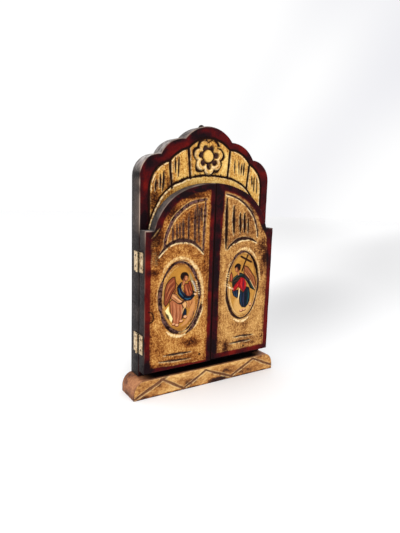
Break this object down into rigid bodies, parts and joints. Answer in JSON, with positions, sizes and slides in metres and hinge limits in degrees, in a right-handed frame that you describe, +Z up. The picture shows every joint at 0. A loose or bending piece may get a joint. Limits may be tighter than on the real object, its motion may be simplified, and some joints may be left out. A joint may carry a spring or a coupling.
{
  "type": "triptych altarpiece",
  "caption": "Small wooden triptych standing on a plank foot: a scalloped back board with a carved rosette, closed by two arched doors on butt hinges, each with an oval picture.",
  "frame": {"origin": "on the floor under the middle of the object's width and depth", "axes": "+X to the right of someone who faces the doors, +Y from the doors to the back, +Z up"},
  "size_m": [0.22, 0.0402, 0.3395],
  "materials": {
    "base_wood": "worn gilding and bare wood",
    "case_gilding": "worn leaf gold inside a lacquered dark red border, black sides",
    "left_door_gilding": "worn leaf gold inside a lacquered dark red border, black sides",
    "right_door_gilding": "worn leaf gold inside a lacquered dark red border, black sides",
    "hinge_brass": "dull pale brass",
    "pin_brass": "dull pale brass",
    "nail_steel": "dark steel",
    "eye_steel": "blackened steel"
  },
  "bodies": {
    "case": {"base_plank": "base_wood", "case_board": "case_gilding", "hanger_plate": "eye_steel", "hanger_nail_high": "nail_steel", "hanger_nail_low": "nail_steel", "hinge_left_lower_case_leaf": "hinge_brass", "hinge_left_lower_pin": "pin_brass", "hinge_left_lower_case_nail_low": "nail_steel", "hinge_left_lower_case_nail_high": "nail_steel", "hinge_left_upper_case_leaf": "hinge_brass", "hinge_left_upper_pin": "pin_brass", "hinge_left_upper_case_nail_low": "nail_steel", "hinge_left_upper_case_nail_high": "nail_steel", "hinge_right_lower_case_leaf": "hinge_brass", "hinge_right_lower_pin": "pin_brass", "hinge_right_lower_case_nail_low": "nail_steel", "hinge_right_lower_case_nail_high": "nail_steel", "hinge_right_upper_case_leaf": "hinge_brass", "hinge_right_upper_pin": "pin_brass", "hinge_right_upper_case_nail_low": "nail_steel", "hinge_right_upper_case_nail_high": "nail_steel"},
    "door_left": {"door_left": "left_door_gilding", "hinge_left_lower_door_leaf": "hinge_brass", "hinge_left_lower_door_nail_low": "nail_steel", "hinge_left_lower_door_nail_high": "nail_steel", "hinge_left_upper_door_leaf": "hinge_brass", "hinge_left_upper_door_nail_low": "nail_steel", "hinge_left_upper_door_nail_high": "nail_steel"},
    "door_right": {"door_right": "right_door_gilding", "hinge_right_lower_door_leaf": "hinge_brass", "hinge_right_lower_door_nail_low": "nail_steel", "hinge_right_lower_door_nail_high": "nail_steel", "hinge_right_upper_door_leaf": "hinge_brass", "hinge_right_upper_door_nail_low": "nail_steel", "hinge_right_upper_door_nail_high": "nail_steel"}
  },
  "joints": [
    {"name": "left_door_swing", "type": "hinge", "parent": "case", "child": "door_left", "pos_m": [-0.09975, -0.0046, 0.119], "axis": [0, 0, -1], "range_deg": [0, 180]},
    {"name": "right_door_swing", "type": "hinge", "parent": "case", "child": "door_right", "pos_m": [0.09975, -0.0046, 0.119], "axis": [0, 0, 1], "range_deg": [0, 180]}
  ]
}
